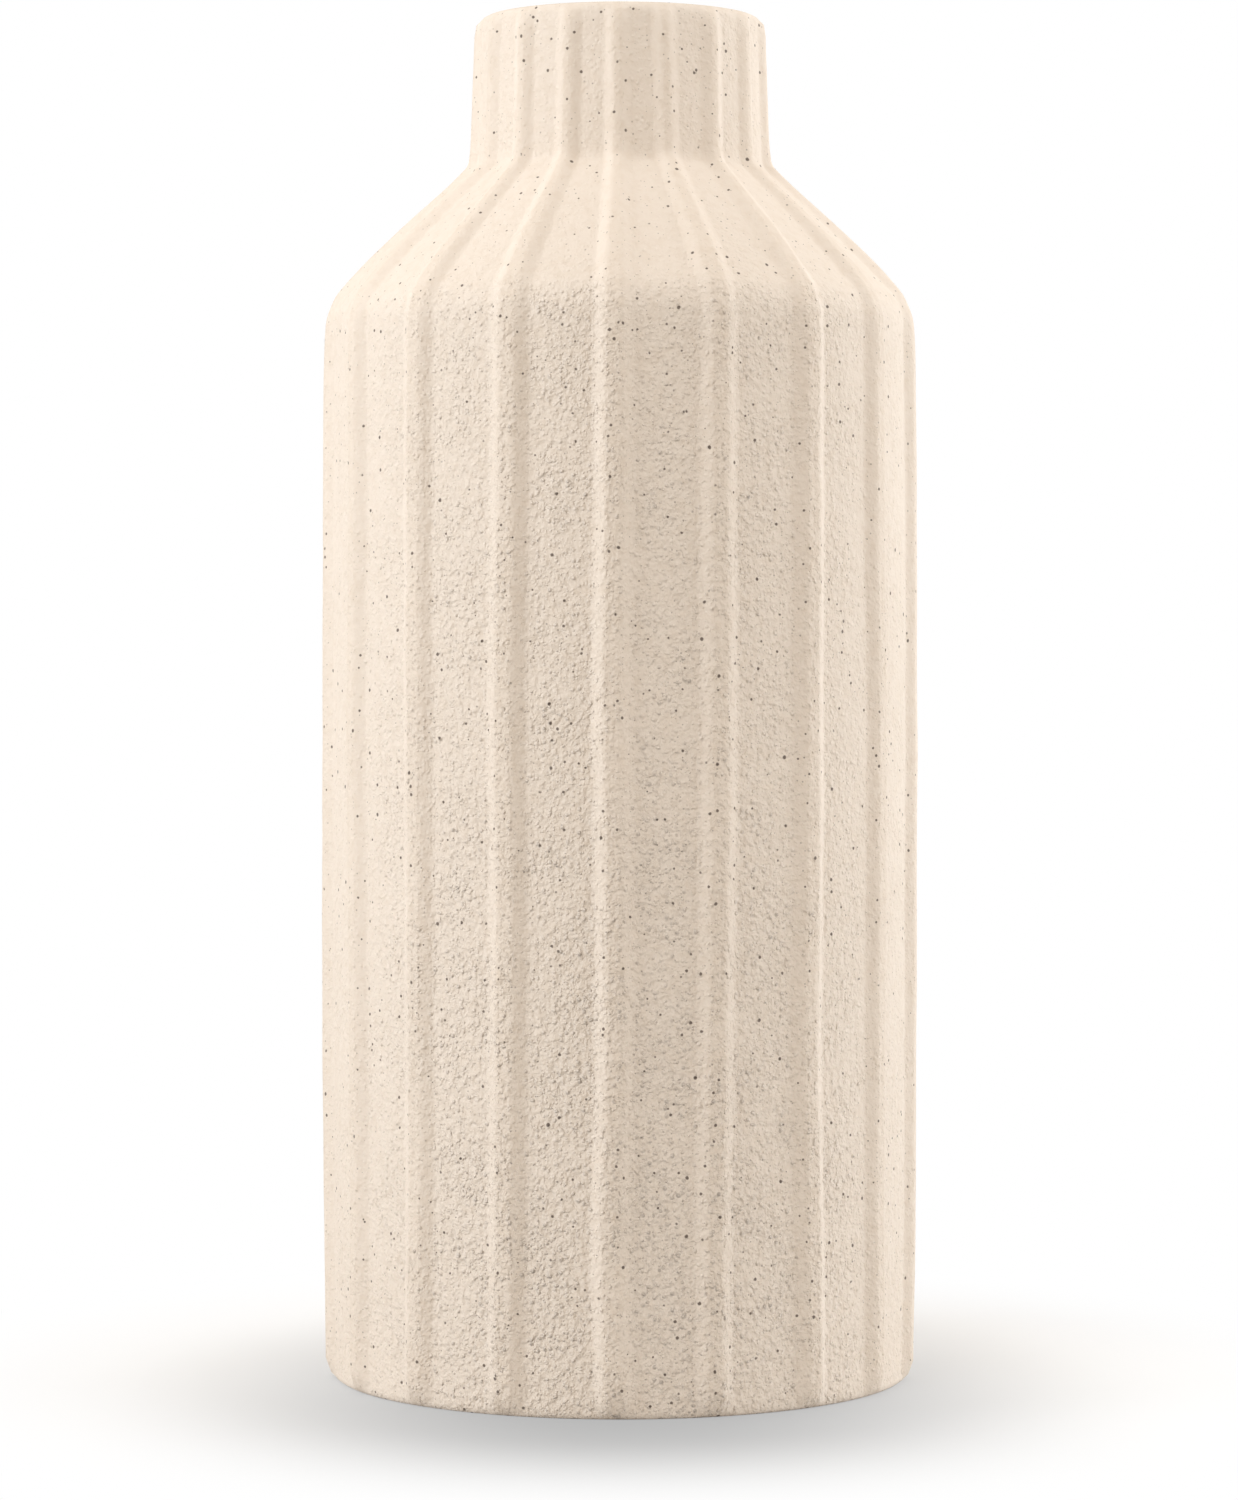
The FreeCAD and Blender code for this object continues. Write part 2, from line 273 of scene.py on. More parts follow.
class VaseFinish(bpy.types.PropertyGroup):
    """Colours and grain of the clay and the glaze."""

    clay: colour("Clay", "Fired clay", (0.80, 0.715, 0.63))
    clay_warm: colour("Warm clay", "Sandy patches and rib crowns", (0.74, 0.64, 0.54))
    iron: colour("Iron", "Iron speckles", (0.10, 0.075, 0.06))
    glaze: colour("Glaze", "Glaze over the same clay", (0.80, 0.71, 0.60))
    speck_cell: length("Speck spacing", "Cell that may hold a large speck", 0.0029)
    grain: length("Sand grain", "Size of the sand grains", 0.0011)
    relief: length("Sand relief", "Depth of the sand's relief", 0.0011)


class VaseStage(bpy.types.PropertyGroup):
    """Floor, lamps and camera."""

    floor_colour: colour("Floor", "Pale studio floor", (0.90, 0.91, 0.92))
    lamp_power: FloatProperty(
        name="Lamps", description="Power of all lamps, 1 as photographed", default=1.0, min=0
    )
    lamp_distance: length("Lamp distance", "Side lamps to the vase's axis", 1.15)
    air_light: FloatProperty(name="Air light", description="Light from all round", default=0.50)
    eye_distance: length("Eye distance", "Camera to the vase's axis", 1.0911)
    eye_height: length("Eye height", "Camera above the floor", 0.17724)
    eye_offset: length("Eye offset", "Camera beside the vase's axis", -0.00036)
    eye_pitch: FloatProperty(
        name="Pitch",
        description="How far the camera looks down",
        default=math.radians(1.553),
        unit="ROTATION",
    )
    lens: FloatProperty(name="Lens", description="Lens for a 36 mm long side", default=110.646)


# Drawing and turning


def bevel_corner(bm, corner, reach, segments):
    """Round one corner of a drawn line, starting that far from the corner on both sides."""
    bmesh.ops.bevel(
        bm,
        geom=[corner],
        offset=reach,
        offset_type="OFFSET",
        segments=segments,
        profile=0.5,
        affect="VERTICES",
        material=-1,
    )


def edge_between(bm, start, end):
    """The edge that is left on the straight from start to end once its corners are round."""
    along = end - start
    return min(
        bm.edges, key=lambda edge: sum((v.co - start).cross(along).length for v in edge.verts)
    )


def draw_line(bm, corners):
    """A line in the XZ plane through the corners (radius, height, rounding, segments, rows).
    rounding is a radius, and rows is how many faces the run after that corner gets."""
    spots = [Vector((radius, 0, up)) for radius, up, *_ in corners]
    drawn = [bm.verts.new(spot) for spot in spots]
    for pair in zip(drawn, drawn[1:]):
        bm.edges.new(pair)
    for number, (_, _, rounding, segments, _) in enumerate(corners):
        if rounding:
            before = spots[number] - spots[number - 1]
            after = spots[number + 1] - spots[number]
            reach = rounding * math.tan(before.angle(after) / 2)
            bevel_corner(bm, drawn[number], reach, segments)
    for start, end, (_, _, _, _, rows) in zip(spots, spots[1:], corners):
        if rows > 1:
            run = edge_between(bm, start, end)
            bmesh.ops.subdivide_edges(bm, edges=[run], cuts=rows - 1)


def mark_run(bm, layer):
    """Store along the drawn line how far each point lies from its start."""
    here = min((v for v in bm.verts if len(v.link_edges) == 1), key=lambda v: v.co.z)
    before, run = None, 0.0
    while here:
        here[layer] = run
        ahead = [edge.other_vert(here) for edge in here.link_edges if before not in edge.verts]
        following = ahead[0] if ahead else None
        if following:
            run += (following.co - here.co).length
        before, here = here, following


def spin_line(bm, sectors, steps):
    """Turn the drawn line once round the upright axis into a closed skin: one sector in so many
    steps, then that sector repeated."""
    about = {"cent": (0, 0, 0), "axis": (0, 0, 1)}
    sector = math.tau / sectors
    line = bm.verts[:] + bm.edges[:]
    bmesh.ops.spin(bm, geom=line, angle=sector, steps=steps, **about)
    skin = bm.verts[:] + bm.edges[:] + bm.faces[:]
    rest = math.tau - sector
    bmesh.ops.spin(bm, geom=skin, angle=rest, steps=sectors - 1, use_duplicate=True, **about)
    bmesh.ops.remove_doubles(bm, verts=bm.verts[:], dist=WELD)
    bmesh.ops.recalc_face_normals(bm, faces=bm.faces[:])


def piece_from(bm, name, material, nodes):
    """Make the bmesh a smooth piece that rides on the vase and stands for those nodes."""
    mesh = bpy.data.meshes.new(name)
    bm.to_mesh(mesh)
    bm.free()
    mesh.polygons.foreach_set("use_smooth", [True] * len(mesh.polygons))
    mesh.materials.append(material)
    piece = bpy.data.objects.new(name, mesh)
    bpy.context.scene.collection.objects.link(piece)
    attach(piece, ROOT)
    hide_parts(*nodes)
    return piece


# Outlines


def clay_corners(shape):
    """The pot's outline, from the middle of its underside round to the middle of its floor."""
    foot = shape.body_radius + shape.foot_flare
    ring = foot - shape.foot_ring
    edge_up = shape.wall_height
    root_up = edge_up + shape.shoulder_height
    mouth = shape.neck_radius - shape.neck_taper
    bore = mouth - shape.neck_thickness
    wall = shape.wall_thickness
    floor = shape.foot_recess + shape.floor_thickness
    mitre = MITRE_SHARE * wall
    return [
        (0, shape.foot_recess, 0, 0, 1),
        (ring - shape.foot_recess, shape.foot_recess, RECESS_ROUND, 2, 1),
        (ring, 0, RECESS_ROUND, 2, 1),
        (foot, 0, shape.foot_round, 4, 78),
        (shape.body_radius, edge_up, shape.edge_round, 6, 16),
        (shape.neck_radius, root_up, shape.root_round, 5, 12),
        (mouth, VASE_HEIGHT, shape.lip_round, 5, 1),
        (bore, VASE_HEIGHT, shape.lip_round, 5, 1),
        (bore, root_up - mitre, CLAY_BEND, 2, 1),
        (shape.body_radius - wall, edge_up - mitre, 0, 0, 1),
        (foot - wall, floor, 0, 0, 1),
        (0, floor, 0, 0, 1),
    ]


def glaze_corners(shape):
    """The glaze's outline, up its side on the clay and back down its open side."""
    low = shape.foot_recess + shape.floor_thickness
    high = VASE_HEIGHT - shape.glaze_stop
    skin = shape.glaze_thickness
    wall = shape.body_radius - shape.wall_thickness
    bore = shape.neck_radius - shape.neck_taper - shape.neck_thickness
    mitre = MITRE_SHARE * shape.wall_thickness
    edge_up = shape.wall_height - mitre
    root_up = shape.wall_height + shape.shoulder_height - mitre
    return [
        (0, low, 0, 0, 1),
        (wall, low, 0, 0, 1),
        (wall, edge_up, 0, 0, 1),
        (bore, root_up, CLAY_BEND, 4, 1),
        (bore, high, 0, 0, 1),
        (bore - GLAZE_END_SHARE * skin, high, GLAZE_END_ROUND, 2, 1),
        (bore - skin, high - GLAZE_END_RUN, 0, 0, 6),
        (bore - skin, root_up - skin / 2, GLAZE_BEND, 4, 8),
        (wall - skin, edge_up - skin / 2, GLAZE_CORNER, 4, 30),
        (wall - skin, low + skin, GLAZE_CORNER, 5, 12),
        (0, low + skin, 0, 0, 1),
    ]


# Ribs and unevenness


def smooth_step(value):
    """0 up to 0, 1 from 1 on, with a soft rise between them."""
    value = np.clip(value, 0, 1)
    return value * value * (3 - 2 * value)


def swell(share):
    """A bow that is 0 at both ends and 1 in the middle."""
    return 4 * share * (1 - share)


def hump(distance, reach):
    """1 at no distance, fading to both sides over about that reach."""
    return np.exp(-((distance / reach) ** 2))


def through(heights, values, at):
    """A smooth curve through the values at those heights, read at other heights."""
    slopes = np.gradient(values, heights)
    at = np.clip(at, heights[0], heights[-1])
    low = np.clip(np.searchsorted(heights, at) - 1, 0, len(heights) - 2)
    span = heights[low + 1] - heights[low]
    t = (at - heights[low]) / span
    return (
        (2 * t**3 - 3 * t**2 + 1) * values[low]
        + (t**3 - 2 * t**2 + t) * span * slopes[low]
        + (3 * t**2 - 2 * t**3) * values[low + 1]
        + (t**3 - t**2) * span * slopes[low + 1]
    )


def rib_sway(number, up):
    """How far rib number strays sideways at those heights."""
    rows = len(SWAY_SHARES)
    shares = SWAY_SHARES[number % rows]
    if rows // 2 < number <= rows // 2 + rows:
        shares = shares[::-1]
    values = np.array(shares) * SWAY_WIDTH * MM
    return through(np.array(SWAY_HEIGHTS) * MM, values, up)


def wander(x, y, z, size):
    """Even noise from -1 to 1 at each point, with features of that size."""
    points = np.column_stack([np.broadcast_to(c, z.shape) for c in (x, y, z)]) / size
    return np.array([noise.noise(point) for point in points.tolist()])


def read_points(mesh):
    """Each point's place, its normal and how far along the outline it lies."""
    count = len(mesh.vertices)
    place, normal, run = np.empty(count * 3), np.empty(count * 3), np.empty(count)
    mesh.vertices.foreach_get("co", place)
    mesh.vertex_normals.foreach_get("vector", normal)
    mesh.attributes["run"].data.foreach_get("value", run)
    return place.reshape(-1, 3), normal.reshape(-1, 3), run


def gather_columns(place, girth, neckness, ribs):
    """Draw the even columns of faces together at the ribs. Gives each point's rib, its angle from
    that rib's middle and its new angle round the pot."""
    columns = ribs.count * RIB_COLUMNS
    column = np.rint(np.arctan2(place[:, 1], place[:, 0]) / math.tau * columns).astype(int)
    column %= columns
    number = column // RIB_COLUMNS
    across = (column % RIB_COLUMNS) / RIB_COLUMNS - 0.5
    spacing = math.tau / ribs.count
    zone = (ribs.zone + (ribs.neck_zone - ribs.zone) * neckness) / girth
    inside = np.clip(abs(across) / RIB_ZONE_SHARE, 0, 1)
    beyond = np.clip((abs(across) - RIB_ZONE_SHARE) / (0.5 - RIB_ZONE_SHARE), 0, 1)
    aside = np.sign(across) * (inside * zone + beyond * (spacing / 2 - zone))
    sway = np.zeros(len(place))
    for rib in range(ribs.count):
        own = number == rib
        sway[own] = rib_sway(rib, place[own, 2])
    angle = ribs.first_angle + number * spacing + aside + (1 - beyond) * sway / girth
    return number, aside, angle


def outside_run(bm, layer, shape):
    """Where the pot's outside starts and ends along its marked outline."""
    foot = shape.body_radius + shape.foot_flare
    low = min((v for v in bm.verts if v.co.x > foot - FOOT_BAND), key=lambda v: v.co.z)
    top = min(v[layer] for v in bm.verts if v.co.z > VASE_HEIGHT - TOP_BAND)
    return low[layer], top + PAST_TOP


def rib_section(number, aside, up, girth, neckness, ribs):
    """A rib's section: 1 on its crown, falling over its ragged flanks to 0."""
    crown = ribs.crown + (ribs.neck_crown - ribs.crown) * neckness
    flank = ribs.flank + (ribs.neck_flank - ribs.flank) * neckness
    side = np.sign(aside)
    stray = sum(
        share * wander(number * step + side, offset, up / size, 1)
        for share, step, offset, size in FLANK_WAVES
    )
    from_middle = abs(aside) * girth + ribs.ragged * stray
    down = (from_middle - crown) / flank
    return 1 - SOFT_SHARE * smooth_step(down) - (1 - SOFT_SHARE) * np.clip(down, 0, 1)


def rib_rise(number, up, neckness, shape, ribs):
    """How high a rib's crown stands at each point."""
    edge_up = shape.wall_height
    root_up = edge_up + shape.shoulder_height
    rise = ribs.rise + (ribs.neck_rise - ribs.rise) * neckness
    share, step, offset, size = CROWN_WAVES
    rise *= CROWN_EVEN + share * wander(number * step, offset, up / size, 1)
    rise *= smooth_step((up - ribs.foot_start) / FOOT_RUN)
    rise *= smooth_step((VASE_HEIGHT - ribs.lip_stop - up) / LIP_RUN)
    rise *= 1 - EDGE_DIP * hump(up - edge_up, EDGE_REACH)
    rise += ROOT_FILL * hump(up - root_up, ROOT_REACH)
    return rise


def handmade_stray(radius, angle, up):
    """How the smoothed wall strays in and out, least at the foot and the lip."""
    calm = smooth_step(up / CALM_RUN) * smooth_step((VASE_HEIGHT - up) / CALM_RUN)
    across, along = radius * np.cos(angle), radius * np.sin(angle)
    stray = sum(
        share * wander(across, along, up * stretch, size) for share, stretch, size in WALL_WAVES
    )
    return (stray - PRESSED_IN) * calm


def shape_outside(mesh, shape, ribs, outside):
    """Raise the ribs on the turned pot, and give its wall its bow and its handmade unevenness.
    outside is where the outside starts and ends along the outline. rib_crown and rib_flank are
    kept on the points for the clay's grain."""
    place, normal, run = read_points(mesh)
    up = place[:, 2]
    radius = np.hypot(place[:, 0], place[:, 1])
    edge_up = shape.wall_height
    root_up = edge_up + shape.shoulder_height
    neckness = smooth_step((up - edge_up) / shape.shoulder_height)
    girth = np.interp(up, [0, edge_up, root_up], [shape.body_radius] * 2 + [shape.neck_radius])
    number, aside, angle = gather_columns(place, girth, neckness, ribs)

    outer = (run > outside[0]) & (run < outside[1])
    raised = rib_section(number, aside, up, girth, neckness, ribs)
    raised = np.where(outer, raised, 0)
    bow = shape.wall_bow * swell(np.clip(up / edge_up, 0, 1))
    bow += shape.shoulder_bow * swell(np.clip((up - edge_up) / shape.shoulder_height, 0, 1))
    lift = bow + raised * rib_rise(number, up, neckness, shape, ribs)
    lift = lift + ribs.uneven * handmade_stray(radius, angle, up)
    lift = np.where(outer, lift, 0)

    outward = np.hypot(normal[:, 0], normal[:, 1]) * np.sign(
        normal[:, 0] * place[:, 0] + normal[:, 1] * place[:, 1] + 1e-12
    )
    radius = radius + lift * outward
    new = np.column_stack(
        [radius * np.sin(angle), -radius * np.cos(angle), up + lift * normal[:, 2]]
    )
    mesh.vertices.foreach_set("co", new.ravel())
    for name, values in (("rib_crown", raised), ("rib_flank", swell(raised))):
        mesh.attributes.new(name, "FLOAT", "POINT").data.foreach_set("value", values)
    mesh.update()


# Nodes of the materials


def opaque(tint, tone=1.0):
    """The colour, deeper by tone, as the sockets take it."""
    return (*(tone * part for part in tint), 1)


def feed(tree, socket, value):
    """Link the value to the socket, or set it there if it is a plain number or colour."""
    if isinstance(value, bpy.types.NodeSocket):
        tree.links.new(value, socket)
    else:
        socket.default_value = value


def group_tree(name, inputs, outputs):
    """An empty shader node group with those sockets, and its two ends."""
    tree = bpy.data.node_groups.new(name, "ShaderNodeTree")
    for label, kind, default in inputs:
        socket = tree.interface.new_socket(label, in_out="INPUT", socket_type=kind)
        if default is not None:
            socket.default_value = default
    for label, kind in outputs:
        tree.interface.new_socket(label, in_out="OUTPUT", socket_type=kind)
    return tree, tree.nodes.new("NodeGroupInput"), tree.nodes.new("NodeGroupOutput")


def math_node(tree, operation, *values):
    """The result of that operation on the values."""
    node = tree.nodes.new("ShaderNodeMath")
    node.operation = operation
    for socket, value in zip(node.inputs, values):
        feed(tree, socket, value)
    return node.outputs[0]


def ramp_between(tree, value, low, high, to_low=0.0, to_high=1.0):
    """value mapped smoothly from low..high to to_low..to_high."""
    node = tree.nodes.new("ShaderNodeMapRange")
    node.interpolation_type = "SMOOTHSTEP"
    feed(tree, node.inputs["Value"], value)
    feed(tree, node.inputs["From Min"], low)
    feed(tree, node.inputs["From Max"], high)
    feed(tree, node.inputs["To Min"], to_low)
    feed(tree, node.inputs["To Max"], to_high)
    return node.outputs["Result"]


def distance_node(tree, vector):
    """How far the place is from the origin."""
    node = tree.nodes.new("ShaderNodeVectorMath")
    node.operation = "LENGTH"
    feed(tree, node.inputs[0], vector)
    return node.outputs["Value"]


def noise_node(tree, vector, scale, detail=2.0, roughness=0.5):
    """Cloudy noise from 0 to 1."""
    node = tree.nodes.new("ShaderNodeTexNoise")
    feed(tree, node.inputs["Vector"], vector)
    feed(tree, node.inputs["Scale"], scale)
    node.inputs["Detail"].default_value = detail
    node.inputs["Roughness"].default_value = roughness
    return node.outputs["Fac"]


def cell_node(tree, vector, scale):
    """Cells scattered in space: the distance to the middle of the nearest one, and three chance
    numbers of that cell."""
    cells = tree.nodes.new("ShaderNodeTexVoronoi")
    feed(tree, cells.inputs["Vector"], vector)
    feed(tree, cells.inputs["Scale"], scale)
    chance = tree.nodes.new("ShaderNodeSeparateColor")
    feed(tree, chance.inputs[0], cells.outputs["Color"])
    return cells.outputs["Distance"], chance.outputs


def mixed_colour(tree, factor, first, second):
    """first where factor is 0, second where it is 1."""
    node = tree.nodes.new("ShaderNodeMix")
    node.data_type = "RGBA"
    feed(tree, node.inputs["Factor"], factor)
    feed(tree, node.inputs[6], first)
    feed(tree, node.inputs[7], second)
    return node.outputs[2]


def bump_node(tree, height, strength, distance):
    """A normal from the height of a fine relief."""
    node = tree.nodes.new("ShaderNodeBump")
    node.inputs["Strength"].default_value = strength
    node.inputs["Distance"].default_value = distance
    feed(tree, node.inputs["Height"], height)
    return node.outputs["Normal"]


def grain_node(tree, vector, scale):
    """Round grains of chance heights, one in each cell."""
    distance, chance = cell_node(tree, vector, scale)
    round_top = ramp_between(tree, distance, *GRAIN_TOP)
    soft_top = math_node(tree, "MULTIPLY", round_top, round_top)
    return math_node(tree, "MULTIPLY", soft_top, chance[0])


def iron_specks_group():
    """Dark specks scattered in space, so that the surface cuts them at all sizes."""
    tree, given, out = group_tree(
        "iron_specks",
        [
            ("Vector", "NodeSocketVector", None),
            ("Cells per metre", "NodeSocketFloat", 280.0),
            ("Size", "NodeSocketFloat", 0.14),
            ("Share", "NodeSocketFloat", 0.5),
        ],
        [("Speck", "NodeSocketFloat")],
    )
    vector = given.outputs["Vector"]
    distance, chance = cell_node(tree, vector, given.outputs["Cells per metre"])
    held = math_node(tree, "LESS_THAN", chance[0], given.outputs["Share"])
    size = math_node(tree, "MULTIPLY_ADD", chance[1], *SPECK_SIZES)
    size = math_node(tree, "MULTIPLY", size, given.outputs["Size"])
    ragged = noise_node(tree, vector, SPECK_RAGGED, 1.0)
    ragged = math_node(tree, "MULTIPLY_ADD", ragged, *SPECK_EDGE)
    size = math_node(tree, "MULTIPLY", size, ragged)
    inner = math_node(tree, "MULTIPLY", size, SPECK_CORE)
    speck = ramp_between(tree, distance, inner, size, 1.0, 0.0)
    feed(tree, out.inputs["Speck"], math_node(tree, "MULTIPLY", speck, held))
    return tree


def sand_group():
    """Relief of sand grains that show through fired clay, about 0 on the whole. Patch is where
    the sand is coarser."""
    tree, given, out = group_tree(
        "sand_relief",
        [
            ("Vector", "NodeSocketVector", None),
            ("Grains per metre", "NodeSocketFloat", 900.0),
            ("Strength", "NodeSocketFloat", 1.0),
        ],
        [("Height", "NodeSocketFloat"), ("Patch", "NodeSocketFloat")],
    )
    vector = given.outputs["Vector"]
    grains = given.outputs["Grains per metre"]
    patch = ramp_between(tree, noise_node(tree, vector, SAND_PATCH_SCALE), *SAND_PATCH_EDGES)
    height = SAND_MIDDLE
    for maker, (many, high) in (
        (noise_node, COARSE_SAND),
        (grain_node, LARGE_GRAINS),
        (grain_node, SMALL_GRAINS),
    ):
        made = maker(tree, vector, math_node(tree, "MULTIPLY", grains, many))
        height = math_node(tree, "MULTIPLY_ADD", made, high, height)
    strength = math_node(tree, "MULTIPLY_ADD", patch, *SAND_PATCH_RELIEF)
    strength = math_node(tree, "MULTIPLY", strength, given.outputs["Strength"])
    feed(tree, out.inputs["Height"], math_node(tree, "MULTIPLY", height, strength))
    feed(tree, out.inputs["Patch"], patch)
    return tree


def use_group(tree, name, maker, **values):
    """Place the shared group of that name, made the first time, with those values."""
    node = tree.nodes.new("ShaderNodeGroup")
    node.node_tree = bpy.data.node_groups.get(name) or maker()
    for label, value in values.items():
        feed(tree, node.inputs[label.replace("_", " ")], value)
    return node.outputs


def new_material(name):
    """An empty node material: itself, its tree, its shader and the place on the object."""
    material = bpy.data.materials.new(name)
    material.use_nodes = True
    tree = material.node_tree
    shader = tree.nodes["Principled BSDF"]
    spot = tree.nodes.new("ShaderNodeTexCoord").outputs["Object"]
    return material, tree, shader, spot


def named_value(tree, name):
    """The value that the mesh keeps under that name."""
    node = tree.nodes.new("ShaderNodeAttribute")
    node.attribute_name = name
    return node.outputs["Fac"]


# Materials


def speckled(tree, spot, finish, base):
    """base with large and small iron specks on it."""
    cells = 1 / finish.speck_cell
    specks = []
    for times, look in ((1, LARGE_SPECKS), (SMALL_SPECKS_PER_LARGE, SMALL_SPECKS)):
        made = {"Vector": spot, "Cells_per_metre": times * cells, **look}
        specks.append(use_group(tree, "iron_specks", iron_specks_group, **made)["Speck"])
    faint = math_node(tree, "MULTIPLY", specks[1], SMALL_SPECK_TONE)
    both = math_node(tree, "MAXIMUM", specks[0], faint)
    both = math_node(tree, "MULTIPLY", both, SPECK_TONE)
    return mixed_colour(tree, both, base, opaque(finish.iron))


def sand_strength(tree, spot, flank):
    """How strong the sand's relief is from place to place, and less on the ribs' wiped flanks."""
    place = tree.nodes.new("ShaderNodeSeparateXYZ")
    feed(tree, place.inputs[0], spot)
    depth = math_node(tree, "ABSOLUTE", place.outputs["Y"])
    strength = ramp_between(tree, place.outputs["Z"], *WALL_SAND)
    strength = math_node(tree, "MULTIPLY", strength, ramp_between(tree, depth, *SIDE_SAND))
    for band in (SHOULDER_SAND, NECK_SAND):
        share = ramp_between(tree, place.outputs["Z"], *band)
        strength = math_node(tree, "MULTIPLY", strength, share)
    wiped = math_node(tree, "MULTIPLY_ADD", flank, WIPED_SAND, 1.0)
    return math_node(tree, "MULTIPLY", strength, wiped)


def clay_material(finish):
    """Bare fired stoneware: matte, sandy, speckled, smoother on the wiped flanks of the ribs."""
    material, tree, shader, spot = new_material("fired_stoneware")
    crown = named_value(tree, "rib_crown")
    flank = named_value(tree, "rib_flank")
    sand = use_group(
        tree,
        "sand_relief",
        sand_group,
        Vector=spot,
        Grains_per_metre=1 / finish.grain,
        Strength=sand_strength(tree, spot, flank),
    )
    warm = ramp_between(tree, noise_node(tree, spot, *BLOTCHES), *BLOTCH_WARMTH)
    crown_only = math_node(tree, "MULTIPLY", crown, math_node(tree, "SUBTRACT", 1.0, flank))
    warm = math_node(tree, "MULTIPLY_ADD", crown_only, CROWN_WARMTH, warm)
    base = mixed_colour(tree, warm, opaque(finish.clay), opaque(finish.clay_warm))
    # Painted shade: the clay is darker where the sand's relief is low, as if its hollows lay in
    # shadow
    painted_hollow_shade = ramp_between(tree, sand["Height"], *HOLLOW_SHADE_DEPTH)
    base = mixed_colour(tree, painted_hollow_shade, base, opaque(finish.clay_warm, HOLLOW_SHADE_TONE))
    feed(tree, shader.inputs["Base Color"], speckled(tree, spot, finish, base))
    rough = ramp_between(tree, sand["Patch"], *CLAY_ROUGHNESS)
    feed(tree, shader.inputs["Roughness"], rough)
    shader.inputs["Specular IOR Level"].default_value = CLAY_SHINE
    feed(tree, shader.inputs["Normal"], bump_node(tree, sand["Height"], 1.0, finish.relief))
    return material


def glaze_material(finish):
    """A thin glossy glaze over the same speckled clay, gently wavy where it ran."""
    material, tree, shader, spot = new_material("cream_glaze")
    pooled = ramp_between(tree, noise_node(tree, spot, *POOLS), *POOL_WARMTH)
    base = mixed_colour(tree, pooled, opaque(finish.glaze), opaque(finish.clay_warm))
    feed(tree, shader.inputs["Base Color"], speckled(tree, spot, finish, base))
    rough = ramp_between(tree, noise_node(tree, spot, GLOSS_CHANGE), *GLAZE_ROUGHNESS)
    feed(tree, shader.inputs["Roughness"], rough)
    waves = bump_node(tree, noise_node(tree, spot, *GLAZE_WAVES), WAVE_STRENGTH, WAVE_HEIGHT)
    feed(tree, shader.inputs["Normal"], waves)
    return material


# The vase


class VASE_OT_clay(bpy.types.Operator):
    """Build the fired clay: floor, wall, shoulder, neck and ribs in one skin"""

    bl_idname = "vase.clay"
    bl_label = "Fired clay"

    def execute(self, context):
        shape = context.scene.vase_shape
        ribs = context.scene.vase_ribs
        bm = bmesh.new()
        layer = bm.verts.layers.float.new("run")
        draw_line(bm, clay_corners(shape))
        mark_run(bm, layer)
        outside = outside_run(bm, layer, shape)
        spin_line(bm, ribs.count, RIB_COLUMNS)
        material = clay_material(context.scene.vase_finish)
        piece = piece_from(bm, "fired_clay", material, CLAY_NODES)
        shape_outside(piece.data, shape, ribs, outside)
        return {"FINISHED"}


class VASE_OT_glaze(bpy.types.Operator):
    """Line the inside with glaze, from the floor to just under the lip"""

    bl_idname = "vase.glaze"
    bl_label = "Glaze lining"

    def execute(self, context):
        bm = bmesh.new()
        draw_line(bm, glaze_corners(context.scene.vase_shape))
        spin_line(bm, GLAZE_SECTORS, GLAZE_COLUMNS)
        material = glaze_material(context.scene.vase_finish)
        piece_from(bm, "glaze_inside", material, ["glaze_lining"])
        return {"FINISHED"}


# The stage


def mixed_shader(tree, factor, first, second):
    """The first shader where factor is 0, the second where it is 1."""
    mix = tree.nodes.new("ShaderNodeMixShader")
    for socket, value in zip(mix.inputs, (factor, first, second)):
        feed(tree, socket, value)
    return mix.outputs[0]


def matte(tree, tint):
    """A plain matte shader of that colour."""
    node = tree.nodes.new("ShaderNodeBsdfDiffuse")
    feed(tree, node.inputs["Color"], tint)
    return node.outputs[0]


def seen_directly(tree):
    """1 for what the viewer looks at, 0 for the light that it throws on the vase."""
    return tree.nodes.new("ShaderNodeLightPath").outputs["Is Camera Ray"]


def floor_material(stage):
    """Pale floor. Looked at directly, it keeps the vase's shadow, has a painted shadow that makes
    it deeper in tone right before the foot, and turns plain white further out."""
    material, tree, shader, spot = new_material("studio_floor")
    tree.nodes.remove(shader)
    near = tree.nodes.new("ShaderNodeMapping")
    near.vector_type = "TEXTURE"
    near.inputs["Location"].default_value = PAINTED_SHADOW_MIDDLE
    near.inputs["Scale"].default_value = PAINTED_SHADOW_REACH
    feed(tree, near.inputs["Vector"], spot)
    pale = opaque(stage.floor_colour)
    # Painted shadow: the floor's colour is made deeper round the foot, most just before it
    painted_shadow_colour = opaque(stage.floor_colour, PAINTED_SHADOW_TONE)
    fade = ramp_between(tree, distance_node(tree, near.outputs["Vector"]), *PAINTED_SHADOW_FADE)
    patch = matte(tree, mixed_colour(tree, fade, painted_shadow_colour, pale))
    white = tree.nodes.new("ShaderNodeEmission").outputs[0]
    far = ramp_between(tree, distance_node(tree, spot), *WHITE_FADE)
    seen = mixed_shader(tree, far, patch, white)
    bounce = matte(tree, opaque(stage.floor_colour, FLOOR_BOUNCE))
    surface = mixed_shader(tree, seen_directly(tree), bounce, seen)
    feed(tree, tree.nodes["Material Output"].inputs["Surface"], surface)
    return material


def floor_sheet(stage):
    """A wide flat floor under the vase."""
    bm = bmesh.new()
    bmesh.ops.create_grid(bm, x_segments=1, y_segments=1, size=FLOOR_REACH)
    mesh = bpy.data.meshes.new("floor_sheet")
    bm.to_mesh(mesh)
    bm.free()
    mesh.materials.append(floor_material(stage))
    floor = bpy.data.objects.new("floor_sheet", mesh)
    bpy.context.scene.collection.objects.link(floor)


